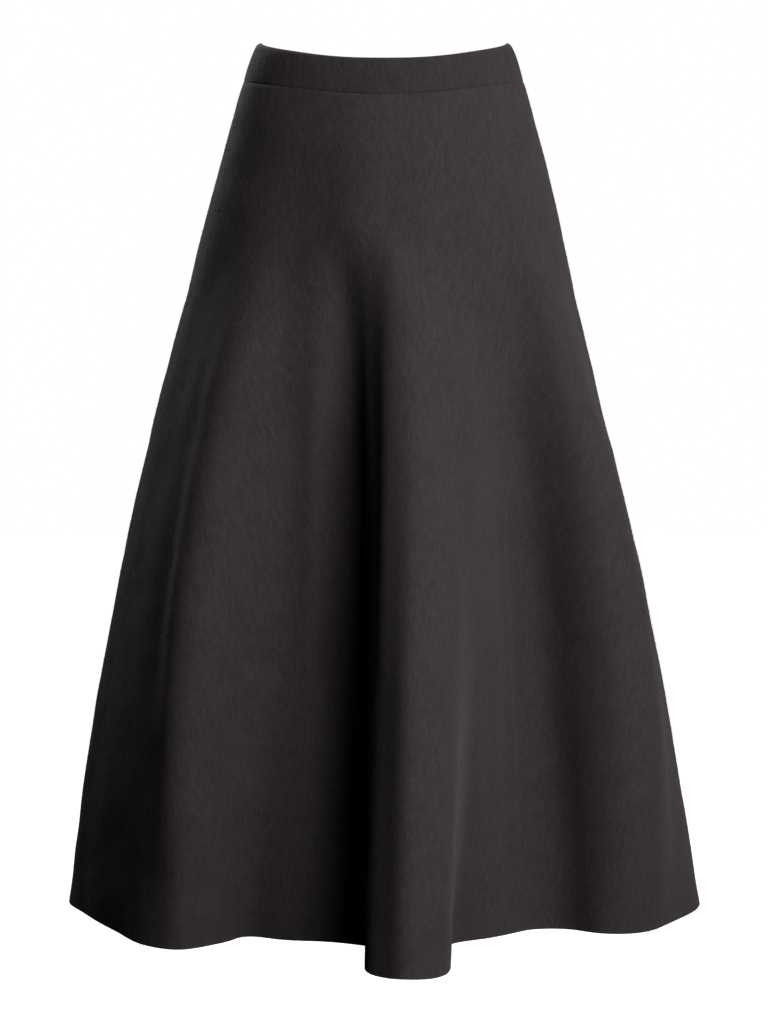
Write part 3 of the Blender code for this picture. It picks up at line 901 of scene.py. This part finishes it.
# %% The lamps
Lamp = namedtuple("Lamp", "name turn rise distance size power target spread")
LAMPS = (
    Lamp("high_key_lamp", 36, 38, 2.2, (1.0, 1.0), 28, (0, 0, -0.24), 180),
    Lamp("side_key_lamp", 70, 26, 1.9, (1.1, 1.1), 9, (0, 0, -0.16), 180),
    Lamp("back_fill", 180, 25, 2.6, (1.4, 1.4), 14, (0, 0, -0.4), 180),
    Lamp("low_front_lamp", 18, 4, 1.7, (0.7, 0.7), 2.15, (0, 0, -0.5), 90),
    Lamp("left_edge_lamp", -148, 26, 0.9, (0.3, 0.5), 2.7, (-0.12, 0, -0.05), 125),
    Lamp("right_edge_lamp", 118, 30, 1.0, (0.3, 0.5), 0.12, (0.12, 0, 0), 60),
)


def light_up(lamp):
    """A soft lamp. Its turn from the front, rise above level and beam's spread are in degrees."""
    light = bpy.data.lights.new(lamp.name, "AREA")
    light.shape = "RECTANGLE"
    light.size, light.size_y = lamp.size
    light.energy = lamp.power
    light.spread = np.radians(lamp.spread)
    turn, rise = np.radians(lamp.turn), np.radians(lamp.rise)
    across, forward = np.sin(turn) * np.cos(rise), np.cos(turn) * np.cos(rise)
    away = np.array([across, -forward, np.sin(rise)])
    place = np.array(lamp.target) + lamp.distance * away
    aim(bpy.data.objects.new(lamp.name, light), place, lamp.target)


for lamp in LAMPS:
    light_up(lamp)
print(len(LAMPS), "lamps, with", round(sum(lamp.power for lamp in LAMPS), 1), "watts in all")

# %% A pale room and a pale floor
FLOOR_SIZE = 14
FLOOR_BELOW_HEM = 0.30
WHITE = (1, 1, 1, 1)
room = bpy.data.worlds.new("pale_room")
room.use_nodes = True
room.node_tree.nodes["Background"].inputs["Color"].default_value = WHITE
room.node_tree.nodes["Background"].inputs["Strength"].default_value = 1.0
room.cycles_visibility.diffuse = False
room.cycles_visibility.glossy = False
scene.world = room

bpy.ops.mesh.primitive_plane_add(size=FLOOR_SIZE, location=(0, 0, hem_z - FLOOR_BELOW_HEM))
floor = bpy.context.object
floor.name = "pale_floor"
floor.visible_diffuse = False
floor.visible_glossy = False
paint = bpy.data.materials.new("pale_floor_paint")
paint.use_nodes = True
paint_shader = paint.node_tree.nodes["Principled BSDF"]
paint_shader.inputs["Base Color"].default_value = (0.9, 0.9, 0.9, 1)
paint_shader.inputs["Roughness"].default_value = 0.9
paint_shader.inputs["Emission Color"].default_value = WHITE
paint_shader.inputs["Emission Strength"].default_value = 1.0
floor.data.materials.append(paint)
print("The floor is", FLOOR_SIZE, "m across, at z =", round(floor.location.z, 3), "m")

# %% [markdown]
# ## Hand the pieces over
# Each piece rides on the skirt's one body and stands for the solid that it dresses. For the four
# pieces of cloth, the size of the rectangle that each is cut from and the area that is left of it
# are printed.

# %% Ride and replace
for half in HALVES:
    cloths = (panels[half], "skirt_", "skirt_knit"), (bands[half], "waistband_", "waistband_knit")
    for piece, node, slot in cloths:
        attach(piece, "root")
        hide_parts(node + half)
    for piece in loose[half]:
        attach(piece, "root")


def cut_size(piece):
    """The width, length and area of the flat cloth that a sheet's mesh covers."""
    mesh = piece.data
    flat = np.array([corner.uv for corner in mesh.uv_layers["flat_cloth"].data])
    area = sum(face.area for face in mesh.polygons)
    return np.ptp(flat[:, 0]), np.ptp(flat[:, 1]), area


for half in HALVES:
    for piece, on_it in ((panels[half], loose[half]), (bands[half], ())):
        width, length, area = cut_size(piece)
        cut = [round(measure, 3) for measure in (width, length, area)]
        print(piece.name, "is cut from", cut[0], "by", cut[1], "m,", cut[2], "m2")
